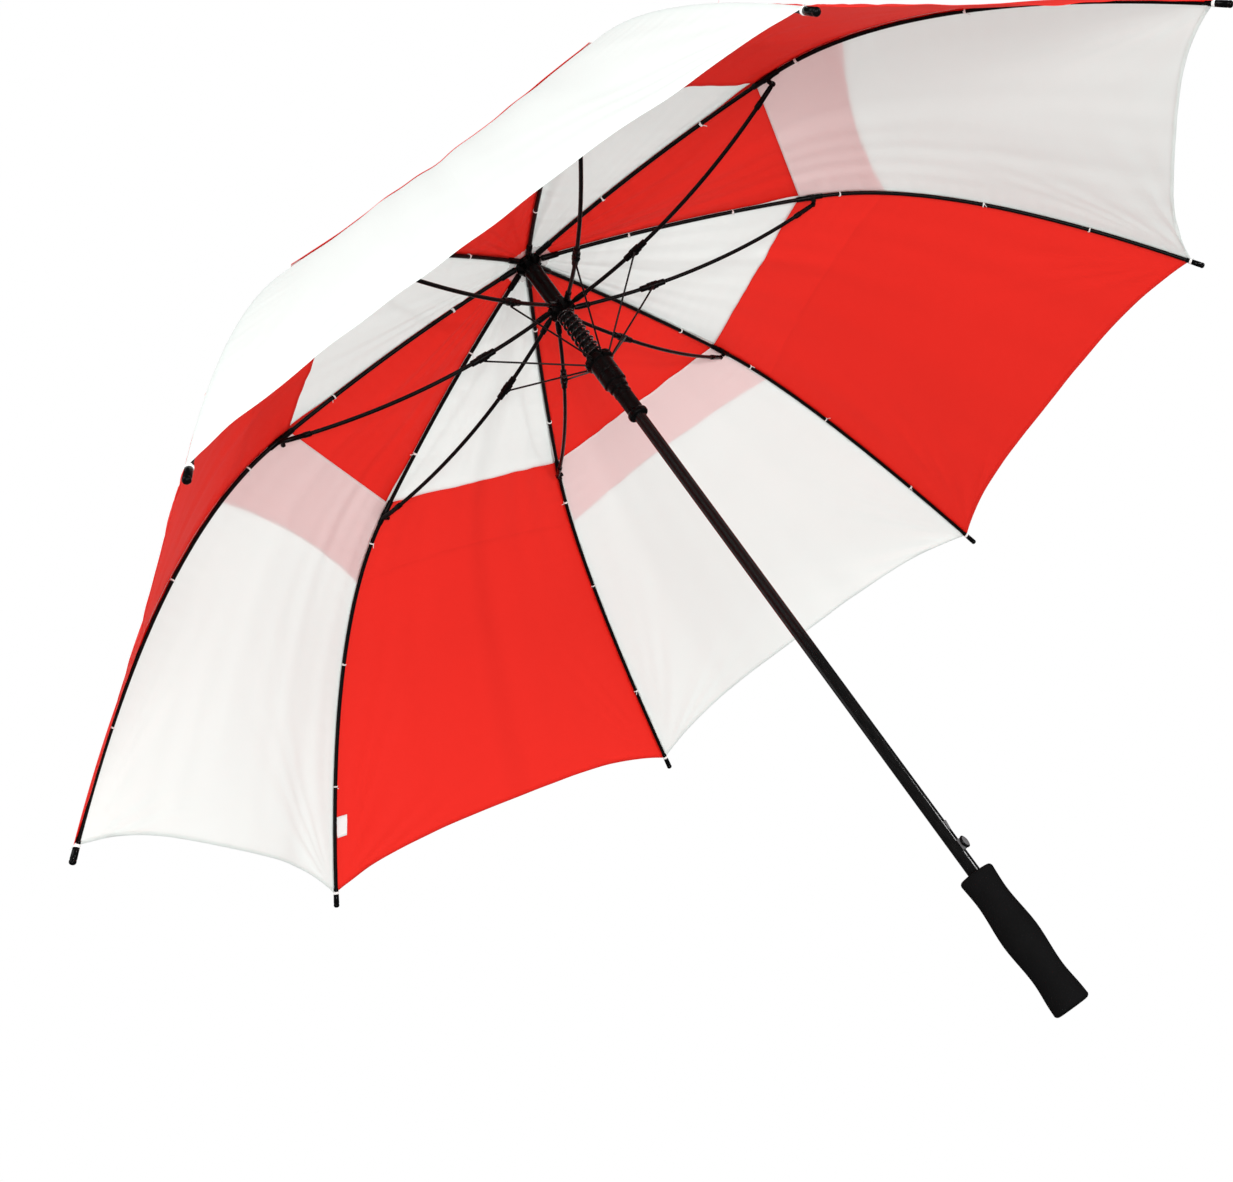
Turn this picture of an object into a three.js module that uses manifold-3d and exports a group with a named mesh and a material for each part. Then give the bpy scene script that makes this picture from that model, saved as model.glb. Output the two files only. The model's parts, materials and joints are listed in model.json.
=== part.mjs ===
// Golf umbrella, 68 inch arc class, open and held upright.
// Millimetres, +Z up the shaft, origin at the centre of the handle's bottom face.
import * as THREE from "three";
import { mergeVertices } from "three/addons/utils/BufferGeometryUtils.js";
import Module from "manifold-3d";

const wasm = await Module();
wasm.setup();

// ---------------------------------------------------------------- driving dimensions
const RIBS = 8;
const FIRST_AZIMUTH = -135; // rib 1, degrees from +X
const AZIMUTH_STEP = -45; // ribs are numbered clockwise, seen from above

const NOTCH_Z = 1018; // height of the rib pivots
const NOTCH_PIVOT_R = 11;
const JOINT_R = 356; // where a stretcher meets its rib
const JOINT_Z = 939;
const TIP_R = 721; // outer end of a rib's tip cap
const TIP_Z = 619;
const RIB_R = 2; // radius of the fibreglass rib
const PIN_R = 349; // a stretcher's outer pivot, on a lug below its rib
const PIN_Z = 934.5;
const NOTCH_SLOPE = 8.5; // degrees below level at the notch
const JOINT_SLOPE = 17; // at the joint
const TIP_SLOPE = 53; // at the tip
const TIP_CAP_LENGTH = 24;

const HUB_Z = 943; // height of the stretcher pivots on the upper runner
const HUB_PIVOT_R = 13;
const STRETCHER_R = 2;
const STRETCHER_BOW = 18; // how far a stretcher hangs below its chord
const SIDE = 5.5; // stretchers run this far beside their ribs, so the two can cross
const WIRE_SIDE = 1.9; // the pull wires run between them
const WIRE_R = 0.8;
const CLIP_AT = 99; // distance of the wire clip from the stretcher's pivot
const EYE_DROP = 18; // the clip's eye hangs this far below the chord
const RING_R = 15.5; // wire pivots on the lower runner
const RING_Z = 862;

const SHAFT_R = 7;
const SHAFT_WALL = 1;
const GAP = 0.4; // running and assembly clearance
const HANDLE_LENGTH = 157;
const BUTTON_Z = 188;
const CATCH_Z = 212;

const CLOTH = 1.2; // canopy thickness in this model
const CLOTH_LIFT = 4.6; // canopy's inner face above the rib's centre line
const VENT_BEFORE_JOINT = 21; // the lower canopy starts this far inboard of the joint
const OVERLAP_PAST_JOINT = 88; // the upper canopy ends this far outboard of it
const HEM_SCALLOP = 29; // how far the lower hem curves in between two tips
const HEM_FLATNESS = 3.6; // exponent of that curve: 2 is a parabola, more is flatter in its middle
const UPPER_SCALLOP = 12;
const PANEL_SAG = 10; // cloth between two ribs hangs below their chord
const ROUND = 18; // facets around a turned piece

// ---------------------------------------------------------------- materials
const finish = (color, roughness, metalness = 0) =>
  new THREE.MeshStandardMaterial({ color, roughness, metalness });
const blackPlastic = finish(0x141416, 0.45);
const glossBlack = finish(0x0c0c0e, 0.2);
const fibreglass = finish(0x17181a, 0.35);
const foam = finish(0x1b1b1c, 0.95);
const springSteel = finish(0x2b2b2e, 0.3, 0.9);
const wireSteel = finish(0x1d1d20, 0.4, 0.8);
const greyPlastic = finish(0x3a3b3e, 0.5);
const redCloth = finish(0xd5231c, 0.8);
const whiteCloth = finish(0xf1efea, 0.8);

// ---------------------------------------------------------------- helpers
const umbrella = new THREE.Group();
const radians = THREE.MathUtils.degToRad;

function solid(geometry) {
  const bare = geometry.clone();
  bare.deleteAttribute("normal");
  bare.deleteAttribute("uv");
  const merged = mergeVertices(bare, 1e-4);
  return new wasm.Manifold(
    new wasm.Mesh({
      numProp: 3,
      vertProperties: Float32Array.from(merged.attributes.position.array),
      triVerts: Uint32Array.from(merged.index.array),
    }),
  );
}

function shapeOf(manifold) {
  const mesh = manifold.getMesh();
  const geometry = new THREE.BufferGeometry();
  geometry.setAttribute("position", new THREE.BufferAttribute(mesh.vertProperties, 3));
  geometry.setIndex(new THREE.BufferAttribute(mesh.triVerts, 1));
  geometry.computeVertexNormals();
  return geometry;
}

const joined = (...geometries) => shapeOf(geometries.map(solid).reduce((a, b) => a.add(b)));
const cut = (geometry, ...cutters) =>
  shapeOf(cutters.map(solid).reduce((a, b) => a.subtract(b), solid(geometry)));

function add(name, geometry, material, parent = umbrella) {
  const mesh = new THREE.Mesh(geometry, material);
  mesh.name = name;
  parent.add(mesh);
  return mesh;
}

// A solid of revolution about +Z; the profile's points are [radius, height], anticlockwise.
function turned(points, segments = ROUND) {
  const closed = [...points, points[0]];
  const outline = points[0][0] === 0 ? points : closed;
  const profile = outline.map(([r, z]) => new THREE.Vector2(r, z));
  return new THREE.LatheGeometry(profile, segments).rotateX(Math.PI / 2);
}

function sleeve(inner, outer, bottom, top, segments = ROUND) {
  const corners = [[inner, bottom], [outer, bottom], [outer, top], [inner, top]];
  return turned(corners, segments);
}

function box(lowX, highX, lowY, highY, lowZ, highZ) {
  const size = [highX - lowX, highY - lowY, highZ - lowZ];
  const middle = [(lowX + highX) / 2, (lowY + highY) / 2, (lowZ + highZ) / 2];
  return new THREE.BoxGeometry(...size).translate(...middle);
}

function rod(curve, radius, steps, sides = 6) {
  const corner = (i) => {
    const turn = (2 * Math.PI * i) / sides;
    return new THREE.Vector2(radius * Math.cos(turn), radius * Math.sin(turn));
  };
  const section = new THREE.Shape(Array.from({ length: sides }, (_, i) => corner(i)));
  return new THREE.ExtrudeGeometry(section, { steps, extrudePath: curve, bevelEnabled: false });
}

const straight = (a, b) => new THREE.LineCurve3(a, b);

// A short cylinder whose axis is tangential, for eyes and lugs.
function eye(x, y, z, radius, width, sides = 8) {
  return new THREE.CylinderGeometry(radius, radius, width, sides).translate(x, y, z);
}

// The part of a curve between two shares of its length.
class Stretch extends THREE.Curve {
  constructor(curve, from, to) {
    super();
    Object.assign(this, { curve, from, to });
  }
  getPoint(t, target = new THREE.Vector3()) {
    return this.curve.getPointAt(this.from + (this.to - this.from) * t, target);
  }
}

// ---------------------------------------------------------------- the rib's curve
// In a rib's own plane x runs outward, y sideways and z up. The curve is two quadratic
// Bezier arcs that meet at the joint with one slope.
function arcBetween(start, end, startSlope, endSlope) {
  const [a, b] = [radians(startSlope), radians(endSlope)];
  const [dx, dz] = [end.x - start.x, end.z - start.z];
  const reach = (dx * Math.sin(b) + dz * Math.cos(b)) / Math.sin(b - a);
  const corner = new THREE.Vector3(
    start.x + reach * Math.cos(a), 0, start.z - reach * Math.sin(a),
  );
  return new THREE.QuadraticBezierCurve3(start, corner, end);
}

const notch = new THREE.Vector3(NOTCH_PIVOT_R, 0, NOTCH_Z);
const joint = new THREE.Vector3(JOINT_R, 0, JOINT_Z);
const tip = new THREE.Vector3(TIP_R, 0, TIP_Z);
const innerCurve = arcBetween(notch, joint, NOTCH_SLOPE, JOINT_SLOPE);
const outerCurve = arcBetween(joint, tip, JOINT_SLOPE, TIP_SLOPE);
const innerLength = innerCurve.getLength();
const outerLength = outerCurve.getLength();

// ---------------------------------------------------------------- handle
function handleGrip() {
  // Radii of the foam from its bottom edge to its top edge, joined by a smooth curve.
  const side = new THREE.SplineCurve([
    new THREE.Vector2(20, 3), new THREE.Vector2(19.6, 12), new THREE.Vector2(17.6, 36),
    new THREE.Vector2(20.2, 84), new THREE.Vector2(17.4, 132), new THREE.Vector2(19, 154),
  ]).getPoints(9);
  const outline = [
    [9.9, 0], [18.4, 0], ...side.map((p) => [p.x, p.y]), [17.6, HANDLE_LENGTH],
    [9.9, HANDLE_LENGTH],
  ];
  return turned(outline);
}

add("handle_grip", handleGrip(), foam);
add("handle_core", sleeve(SHAFT_R + GAP, 9.5, 14, HANDLE_LENGTH - 3), blackPlastic);
const endPlug = [[0, 0], [9.5, 0], [9.5, 13.6], [6, 13.6], [6, 3], [0, 3]];
add("handle_end_cap", turned(endPlug), blackPlastic);

// ---------------------------------------------------------------- shaft and latch
const BUTTON_HALF_WIDTH = 2.6;
const BUTTON_HALF_HEIGHT = 6;
const CATCH_HALF_WIDTH = 1.6;
const CATCH_HALF_HEIGHT = 5;
const SHAFT_BOTTOM = 16;
const SHAFT_TOP = NOTCH_Z + 26;

function slot(halfWidth, halfHeight, z) {
  return box(3, SHAFT_R + 3, -halfWidth - GAP, halfWidth + GAP, z - halfHeight - GAP, z + halfHeight + GAP);
}

add("shaft_tube", cut(
  sleeve(SHAFT_R - SHAFT_WALL, SHAFT_R, SHAFT_BOTTOM, SHAFT_TOP),
  slot(BUTTON_HALF_WIDTH, BUTTON_HALF_HEIGHT, BUTTON_Z),
  slot(CATCH_HALF_WIDTH, CATCH_HALF_HEIGHT, CATCH_Z),
), fibreglass);

function releaseButton() {
  const stem = box(1.5, 9.5, -BUTTON_HALF_WIDTH, BUTTON_HALF_WIDTH,
    BUTTON_Z - BUTTON_HALF_HEIGHT, BUTTON_Z + BUTTON_HALF_HEIGHT);
  const cap = new THREE.CylinderGeometry(6.2, 5.2, 3.2, 14)
    .rotateZ(-Math.PI / 2).translate(11.1, 0, BUTTON_Z);
  return joined(stem, cap);
}

function latchCatch() {
  const tooth = new THREE.Shape([
    new THREE.Vector2(1.5, -CATCH_HALF_HEIGHT), new THREE.Vector2(7.2, -CATCH_HALF_HEIGHT),
    new THREE.Vector2(8.4, CATCH_HALF_HEIGHT), new THREE.Vector2(1.5, CATCH_HALF_HEIGHT),
  ]);
  return new THREE.ExtrudeGeometry(tooth, { depth: 2 * CATCH_HALF_WIDTH, bevelEnabled: false })
    .rotateX(Math.PI / 2).translate(0, CATCH_HALF_WIDTH, CATCH_Z);
}

add("release_button", releaseButton(), greyPlastic);
add("latch_catch", latchCatch(), greyPlastic);

// A bent steel strip in the tube pushes the button and the catch outward.
const strip = [[-4.6, 150], [-3.8, 150], [-2.6, 180], [-2.6, 216], [-3.4, 216], [-3.4, 180]];
const leaf = new THREE.Shape(strip.map(([x, z]) => new THREE.Vector2(x, z)));
add("latch_leaf_spring", new THREE.ExtrudeGeometry(leaf, { depth: 3.2, bevelEnabled: false })
  .rotateX(Math.PI / 2).translate(0, 1.6, 0), springSteel);

// ---------------------------------------------------------------- top notch and ferrule
const NOTCH_HALF_SLOT = RIB_R + 0.35;
const spokes = Array.from({ length: RIBS }, (_, i) => radians(FIRST_AZIMUTH + AZIMUTH_STEP * i));
const around = (geometry) => spokes.map((turn) => geometry.clone().rotateZ(turn));

const crown = turned([
  [SHAFT_R + GAP, 1009.5], [12, 1009.5], [16, 1013], [16, 1018.5], [14.5, 1019.8],
  [SHAFT_R + GAP, 1019.8],
]);
const ribSlot = box(8.4, 18, -NOTCH_HALF_SLOT, NOTCH_HALF_SLOT, 1000, 1030);
add("top_notch", cut(crown, ...around(ribSlot)), blackPlastic);

const CAP_Z = NOTCH_Z + 7.5;
add("canopy_cap", turned([
  [SHAFT_R + GAP, CAP_Z], [17, CAP_Z - 1.6], [17.6, CAP_Z - 0.6], [11, CAP_Z + 2.4],
  [SHAFT_R + GAP, CAP_Z + 2.6],
]), blackPlastic);

const FERRULE_Z = CAP_Z + 3.2;
add("ferrule", turned([
  [SHAFT_R + GAP, FERRULE_Z], [10.5, FERRULE_Z], [9.4, FERRULE_Z + 8], [7.6, FERRULE_Z + 46],
  [5.5, FERRULE_Z + 58], [0, FERRULE_Z + 60], [0, SHAFT_TOP + 0.6], [SHAFT_R + GAP, SHAFT_TOP + 0.6],
]), blackPlastic);

// ---------------------------------------------------------------- runners and spring
const stretcherSlot = box(10, 20, SIDE - STRETCHER_R - 0.5, SIDE + STRETCHER_R + 0.5, 900, 960);
const upperRunner = turned([
  [SHAFT_R + GAP, HUB_Z - 6], [12.5, HUB_Z - 6], [16.2, HUB_Z - 4], [16.2, HUB_Z + 5],
  [13, HUB_Z + 7], [10, HUB_Z + 12], [10, NOTCH_Z - 10], [SHAFT_R + GAP, NOTCH_Z - 10],
]);
add("upper_runner", cut(upperRunner, ...around(stretcherSlot)), blackPlastic);

const CUP_DEPTH = 33;
const COLLAR_TOP = 785.5;
const wireSlot = box(14.2, 20, WIRE_SIDE - WIRE_R - 0.4, WIRE_SIDE + WIRE_R + 0.4,
  RING_Z - 12, RING_Z + 6);
const lowerRunner = turned([
  [SHAFT_R + GAP, COLLAR_TOP + 0.4], [9.8, COLLAR_TOP + 0.4], [9.8, 818], [11.6, 820],
  [11.6, RING_Z - CUP_DEPTH - 3], [13.8, RING_Z - CUP_DEPTH - 1], [13.8, RING_Z - 5],
  [17.4, RING_Z - 3], [17.4, RING_Z + 3], [12.7, RING_Z + 3], [12.7, RING_Z - CUP_DEPTH],
  [SHAFT_R + GAP, RING_Z - CUP_DEPTH],
]);
add("lower_runner", cut(lowerRunner, ...around(wireSlot)), blackPlastic);
add("runner_collar", turned([
  [SHAFT_R + GAP, 777], [10.6, 777], [11.8, 778.4], [11.8, 783], [10.4, COLLAR_TOP],
  [SHAFT_R + GAP, COLLAR_TOP],
]), glossBlack);

const COIL_R = 11;
const COIL_WIRE_R = 1;
const COILS = 10;
const COIL_BOTTOM = RING_Z - CUP_DEPTH + COIL_WIRE_R + 0.5;
const COIL_TOP = HUB_Z - 6 - COIL_WIRE_R - 0.5;

class Helix extends THREE.Curve {
  getPoint(t, target = new THREE.Vector3()) {
    const turn = 2 * Math.PI * COILS * t;
    const height = COIL_BOTTOM + (COIL_TOP - COIL_BOTTOM) * t;
    return target.set(COIL_R * Math.cos(turn), COIL_R * Math.sin(turn), height);
  }
}
add("opening_spring", rod(new Helix(), COIL_WIRE_R, COILS * 9, 4), springSteel);

// ---------------------------------------------------------------- ribs, stretchers, wires
const BRACKET_LENGTH = 22;
const PIVOT_GAP = 2.6; // clear space on each side of a pivot between two rod ends

function ribInner() {
  const end = 1 - PIVOT_GAP / innerLength;
  const start = 1 / innerLength;
  const bracketFrom = 1 - BRACKET_LENGTH / innerLength;
  const above = innerCurve.getPointAt(1 - 8 / innerLength);
  const pin = new THREE.Vector3(PIN_R, 0, PIN_Z);
  return joined(
    rod(new Stretch(innerCurve, start, end), RIB_R, 4),
    rod(new Stretch(innerCurve, bracketFrom, end - 0.002), RIB_R + 1, 1),
    rod(straight(above, pin), 2, 1),
    eye(PIN_R, 0, PIN_Z, 2.8, 4.4),
    eye(notch.x, notch.y, notch.z, 2.3, 3.6),
  );
}

function ribOuter() {
  const capFrom = 1 - (TIP_CAP_LENGTH + GAP) / outerLength;
  return joined(
    rod(new Stretch(outerCurve, PIVOT_GAP / outerLength, capFrom), RIB_R, 12),
    rod(new Stretch(outerCurve, (PIVOT_GAP + 0.4) / outerLength, 10 / outerLength), RIB_R + 1, 1),
  );
}

const ribTip = () => joined(
  rod(new Stretch(outerCurve, 1 - TIP_CAP_LENGTH / outerLength, 1 - 4 / outerLength), 3, 1, 8),
  rod(new Stretch(outerCurve, 1 - 5.5 / outerLength, 1), 3.8, 1, 8),
);

// The stretcher's bow is a parabola through its two pivots.
class Bow extends THREE.Curve {
  getPoint(t, target = new THREE.Vector3()) {
    const x = HUB_PIVOT_R + (PIN_R - HUB_PIVOT_R) * t;
    const z = HUB_Z + (PIN_Z - HUB_Z) * t - 4 * STRETCHER_BOW * t * (1 - t);
    return target.set(x, SIDE, z);
  }
}
const bow = new Bow();
const bowLength = bow.getLength();

function clipEye() {
  const slope = Math.atan2(PIN_Z - HUB_Z, PIN_R - HUB_PIVOT_R);
  return new THREE.Vector3(
    HUB_PIVOT_R + CLIP_AT * Math.cos(slope) + EYE_DROP * Math.sin(slope), SIDE,
    HUB_Z + CLIP_AT * Math.sin(slope) - EYE_DROP * Math.cos(slope),
  );
}

function stretcher() {
  const at = clipEye();
  const share = (length) => length / bowLength;
  const middle = share(CLIP_AT);
  const clip = rod(new Stretch(bow, middle - share(13), middle + share(13)), 2.5, 1);
  const lug = straight(new THREE.Vector3(at.x, SIDE, at.z + 5), new THREE.Vector3(at.x, SIDE, at.z));
  return joined(
    rod(bow, STRETCHER_R, 8),
    rod(new Stretch(bow, 1 - share(27), 1 - share(3)), 2.4, 1),
    eye(HUB_PIVOT_R, SIDE, HUB_Z, 2.1, 3.6),
    eye(PIN_R, SIDE, PIN_Z, 2.8, 3.6),
    clip,
    rod(lug, 1.6, 1, 4),
    eye(at.x, SIDE, at.z, 2.3, 3.2),
  );
}

function pullWire() {
  const at = clipEye();
  const from = new THREE.Vector3(RING_R, WIRE_SIDE, RING_Z);
  return rod(straight(from, new THREE.Vector3(at.x, WIRE_SIDE, at.z)), WIRE_R, 1, 6);
}

spokes.forEach((turn, i) => {
  const spoke = new THREE.Group();
  spoke.rotation.z = turn;
  umbrella.add(spoke);
  add(`rib_inner_${i + 1}`, ribInner(), fibreglass, spoke);
  add(`rib_outer_${i + 1}`, ribOuter(), fibreglass, spoke);
  add(`rib_tip_${i + 1}`, ribTip(), glossBlack, spoke);
  add(`stretcher_${i + 1}`, stretcher(), fibreglass, spoke);
  add(`pull_wire_${i + 1}`, pullWire(), wireSteel, spoke);
});

// ---------------------------------------------------------------- canopies
// Height of the cloth's inner face above a point at length s along the rib, between two ribs:
// across is -1 at one rib, 0 midway and 1 at the next.
function ribAt(s) {
  const inner = s < innerLength;
  const curve = inner ? innerCurve : outerCurve;
  const share = inner ? s / innerLength : Math.min((s - innerLength) / outerLength, 1);
  return { point: curve.getPointAt(share), along: curve.getTangentAt(share) };
}

function clothPoint(s, across, sector, lift) {
  const { point, along } = ribAt(s);
  const r = point.x - along.z * lift;
  const z = point.z + along.x * lift;
  const half = Math.PI / RIBS;
  const middle = r * Math.cos(half);
  const sideways = across * r * Math.sin(half);
  const droop = PANEL_SAG * (1 - across * across) * Math.min(1, r / JOINT_R);
  const turn = spokes[0] + half + sector * 2 * half;
  const out = middle + along.z * droop;
  return new THREE.Vector3(
    out * Math.cos(turn) - sideways * Math.sin(turn),
    out * Math.sin(turn) + sideways * Math.cos(turn), z - along.x * droop,
  );
}

// A closed shell on a grid that goes round the shaft and down from `start` to the hem.
function canopy(start, hem, rows, liftAt) {
  const PER_PANEL = 4;
  const columns = RIBS * PER_PANEL;
  const points = [];
  for (const layer of [0, CLOTH]) {
    for (let row = 0; row <= rows; row++) {
      for (let column = 0; column < columns; column++) {
        const across = (2 * (column % PER_PANEL)) / PER_PANEL - 1;
        const s = start + (hem(across) - start) * (row / rows);
        const sector = Math.floor(column / PER_PANEL);
        points.push(clothPoint(s, across, sector, liftAt(s) + layer));
      }
    }
  }
  const at = (layer, row, column) =>
    layer * (rows + 1) * columns + row * columns + (column % columns);
  const faces = [];
  const quad = (a, b, c, d) => faces.push(a, b, c, a, c, d);
  for (let column = 0; column < columns; column++) {
    const next = column + 1;
    for (let row = 0; row < rows; row++) {
      quad(at(1, row, column), at(1, row + 1, column), at(1, row + 1, next), at(1, row, next));
      quad(at(0, row, column), at(0, row, next), at(0, row + 1, next), at(0, row + 1, column));
    }
    quad(at(0, 0, column), at(1, 0, column), at(1, 0, next), at(0, 0, next));
    quad(at(0, rows, column), at(0, rows, next), at(1, rows, next), at(1, rows, column));
  }
  const geometry = new THREE.BufferGeometry().setFromPoints(points);
  geometry.setIndex(faces);
  geometry.computeVertexNormals();
  return geometry;
}

const scallop = (depth, flatness) => (across) => depth * (1 - Math.abs(across) ** flatness);
const lowerScallop = scallop(HEM_SCALLOP, HEM_FLATNESS);
const upperScallop = scallop(UPPER_SCALLOP, 2);
const lowerStart = innerLength - VENT_BEFORE_JOINT;
const lowerEnd = innerLength + outerLength - TIP_CAP_LENGTH + 8;
const upperEnd = innerLength + OVERLAP_PAST_JOINT;
const LAYER_GAP = 3; // the upper canopy rises over the lower one's edge
const upperLift = (s) =>
  CLOTH_LIFT + 0.2 + (CLOTH + LAYER_GAP) * THREE.MathUtils.smoothstep(s, lowerStart - 60, lowerStart - 10);

add("canopy_lower", canopy(lowerStart, (v) => lowerEnd - lowerScallop(v), 7,
  () => CLOTH_LIFT), whiteCloth);
add("canopy_upper", canopy(0, (v) => upperEnd - upperScallop(v), 7, upperLift), redCloth);

export default umbrella;
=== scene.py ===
# %% [markdown]
# # A golf umbrella with a double canopy
# The umbrella stands open, as a hand would hold it. A frame of rods comes from the packed
# model, and this notebook gives every rod, fitting and panel of cloth its finished surface.
# Each new surface is worked out as a whole array of points with numpy.

# %% The frame that everything is built around
import json
import math

import bmesh
import bpy
import numpy as np
from mathutils import Matrix, Vector


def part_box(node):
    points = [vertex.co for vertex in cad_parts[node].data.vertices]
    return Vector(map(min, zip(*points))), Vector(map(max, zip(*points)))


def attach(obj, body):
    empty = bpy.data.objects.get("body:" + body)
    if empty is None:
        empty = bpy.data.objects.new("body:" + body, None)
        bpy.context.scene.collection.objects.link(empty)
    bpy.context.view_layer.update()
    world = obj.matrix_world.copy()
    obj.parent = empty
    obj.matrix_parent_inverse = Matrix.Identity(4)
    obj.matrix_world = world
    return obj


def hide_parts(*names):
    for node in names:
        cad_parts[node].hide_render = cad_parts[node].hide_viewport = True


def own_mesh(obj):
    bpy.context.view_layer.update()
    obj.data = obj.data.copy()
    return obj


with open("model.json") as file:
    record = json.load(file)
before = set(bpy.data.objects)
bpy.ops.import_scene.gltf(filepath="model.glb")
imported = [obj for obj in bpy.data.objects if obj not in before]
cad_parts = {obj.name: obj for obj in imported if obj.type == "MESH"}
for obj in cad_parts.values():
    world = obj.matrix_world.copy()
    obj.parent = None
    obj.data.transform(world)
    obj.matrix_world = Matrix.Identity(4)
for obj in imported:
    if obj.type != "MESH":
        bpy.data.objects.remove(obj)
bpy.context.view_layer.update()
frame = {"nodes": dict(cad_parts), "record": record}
joints = {j["name"]: j for j in frame["record"]["behaviour"]["joints"]}
MM = 0.001
RIBS = 8


def pivot(name):
    """Where a hinge turns, as (distance from the shaft, height), and its compass angle."""
    x, y, z = joints[name]["pos_m"]
    return math.hypot(x, y), z, math.atan2(y, x)


NOTCH_R, NOTCH_Z, _ = pivot("rib_fold_1")
JOINT_R, JOINT_Z, _ = pivot("rib_flex_1")
AZIMUTHS = np.array([pivot(f"rib_fold_{k + 1}")[2] for k in range(RIBS)])
HUB_Z = joints["stretcher_fold_1"]["pos_m"][2]
RING_Z = joints["wire_fold_1"]["pos_m"][2]
print("rib pivots at", round(NOTCH_Z, 3), "hub at", round(HUB_Z, 3), "ring at", round(RING_Z, 3))

# %% [markdown]
# ## Camera
# The eye is low and in front of the handle, and looks up into the canopy. The camera is
# rolled, because the umbrella leans across the picture. A camera's own axes are its right,
# its up and its back, so a direction to look in and an up direction are enough to place it.

# %% Camera
CAMERA_AT = Vector((0.6609, -1.5411, -0.0441))
LOOK = Vector((-0.3721, 0.8715, 0.3195)).normalized()
UP = Vector((0.6453, -0.0046, 0.7639))
LENS_MM = 48.77
SIDE_SHIFT = -0.1253
camera_data = bpy.data.cameras.new("camera")
camera = bpy.data.objects.new("camera", camera_data)
bpy.context.scene.collection.objects.link(camera)
right = LOOK.cross(UP).normalized()
true_up = right.cross(LOOK)
turn = Matrix((right, true_up, -LOOK)).transposed().to_4x4()
camera.matrix_world = Matrix.Translation(CAMERA_AT) @ turn
camera_data.lens = LENS_MM
camera_data.shift_x = SIDE_SHIFT
bpy.context.scene.camera = camera
print("camera", tuple(round(c, 3) for c in camera.location))

# %% [markdown]
# ## Light and stage
# The umbrella hangs in a white studio. A surround that is white in every mirror would turn
# each black fitting grey, because a smooth black surface shows only what it mirrors. So the
# surround is white to the eye, softer on cloth, and nearly dark in reflections, and the
# lamps draw the highlights. The floor lies well below, as the umbrella is held in the air.

# %% Light and stage
world = bpy.data.worlds.new("surround")
bpy.context.scene.world = world
world.use_nodes = True
sky = world.node_tree
backdrop = sky.nodes["Background"]
backdrop.inputs["Color"].default_value = (1.0, 1.0, 1.0, 1.0)
SEEN, ON_CLOTH, IN_MIRRORS = 1.0, 0.58, 0.04
ray = sky.nodes.new("ShaderNodeLightPath")
by_mirror = sky.nodes.new("ShaderNodeMix")
by_mirror.inputs["A"].default_value, by_mirror.inputs["B"].default_value = ON_CLOTH, IN_MIRRORS
by_eye = sky.nodes.new("ShaderNodeMix")
by_eye.inputs["B"].default_value = SEEN
sky.links.new(ray.outputs["Is Glossy Ray"], by_mirror.inputs["Factor"])
sky.links.new(by_mirror.outputs["Result"], by_eye.inputs["A"])
sky.links.new(ray.outputs["Is Camera Ray"], by_eye.inputs["Factor"])
sky.links.new(by_eye.outputs["Result"], backdrop.inputs["Strength"])


def soft_lamp(name, place, target, size, power):
    """A square lamp of a given size in metres that faces the target."""
    lamp = bpy.data.lights.new(name, "AREA")
    lamp.size = size
    lamp.energy = power
    holder = bpy.data.objects.new(name, lamp)
    holder.location = place
    holder.rotation_euler = (Vector(target) - Vector(place)).to_track_quat("-Z", "Y").to_euler()
    bpy.context.scene.collection.objects.link(holder)


soft_lamp("side_lamp", (2.5, 0.45, 0.5), (0, 0, 0.3), 0.35, 20)
soft_lamp("low_lamp", (2.0, -0.9, -0.5), (0, 0, 0.9), 0.12, 11)
soft_lamp("fill_lamp", (1.31, -2.27, -0.4), (0, 0, 0.9), 0.5, 38)
soft_lamp("front_lamp", (0.2, -3.0, 3.0), (0, 0, 0.8), 2.5, 80)
soft_lamp("left_lamp", (-2.4, -1.2, 2.2), (0, 0, 0.8), 2.5, 20)
soft_lamp("back_lamp", (-1.8, 2.6, 1.8), (0, 0, 0.8), 2.5, 10)
FLOOR_Z, FLOOR_R = -0.9, 5
bpy.ops.mesh.primitive_circle_add(
    vertices=128, radius=FLOOR_R, fill_type="NGON", location=(0, 0, FLOOR_Z))
floor = bpy.context.object
floor.name = "floor"
floor.visible_glossy = False
bpy.context.scene.view_settings.view_transform = "Standard"

# %% [markdown]
# ## Writing materials as expressions
# A shader is a graph of nodes. Written as plain arithmetic it is easier to read, so a small
# class wraps a socket and turns +, - and * into Math nodes. Every other node comes from one
# method, which is given the node's type, its settings and the values of its sockets.


# %% The shader helper
class Socket:
    """One output of a node; arithmetic on it adds Math nodes."""

    def __init__(self, paint, out):
        self.paint, self.out = paint, out

    def _math(self, operation, a, b):
        return self.paint.node("ShaderNodeMath", {"operation": operation}, {0: a, 1: b})

    def __add__(self, other):
        return self._math("ADD", self, other)

    def __sub__(self, other):
        return self._math("SUBTRACT", self, other)

    def __rsub__(self, other):
        return self._math("SUBTRACT", other, self)

    def __mul__(self, other):
        return self._math("MULTIPLY", self, other)

    __radd__, __rmul__ = __add__, __mul__


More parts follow.
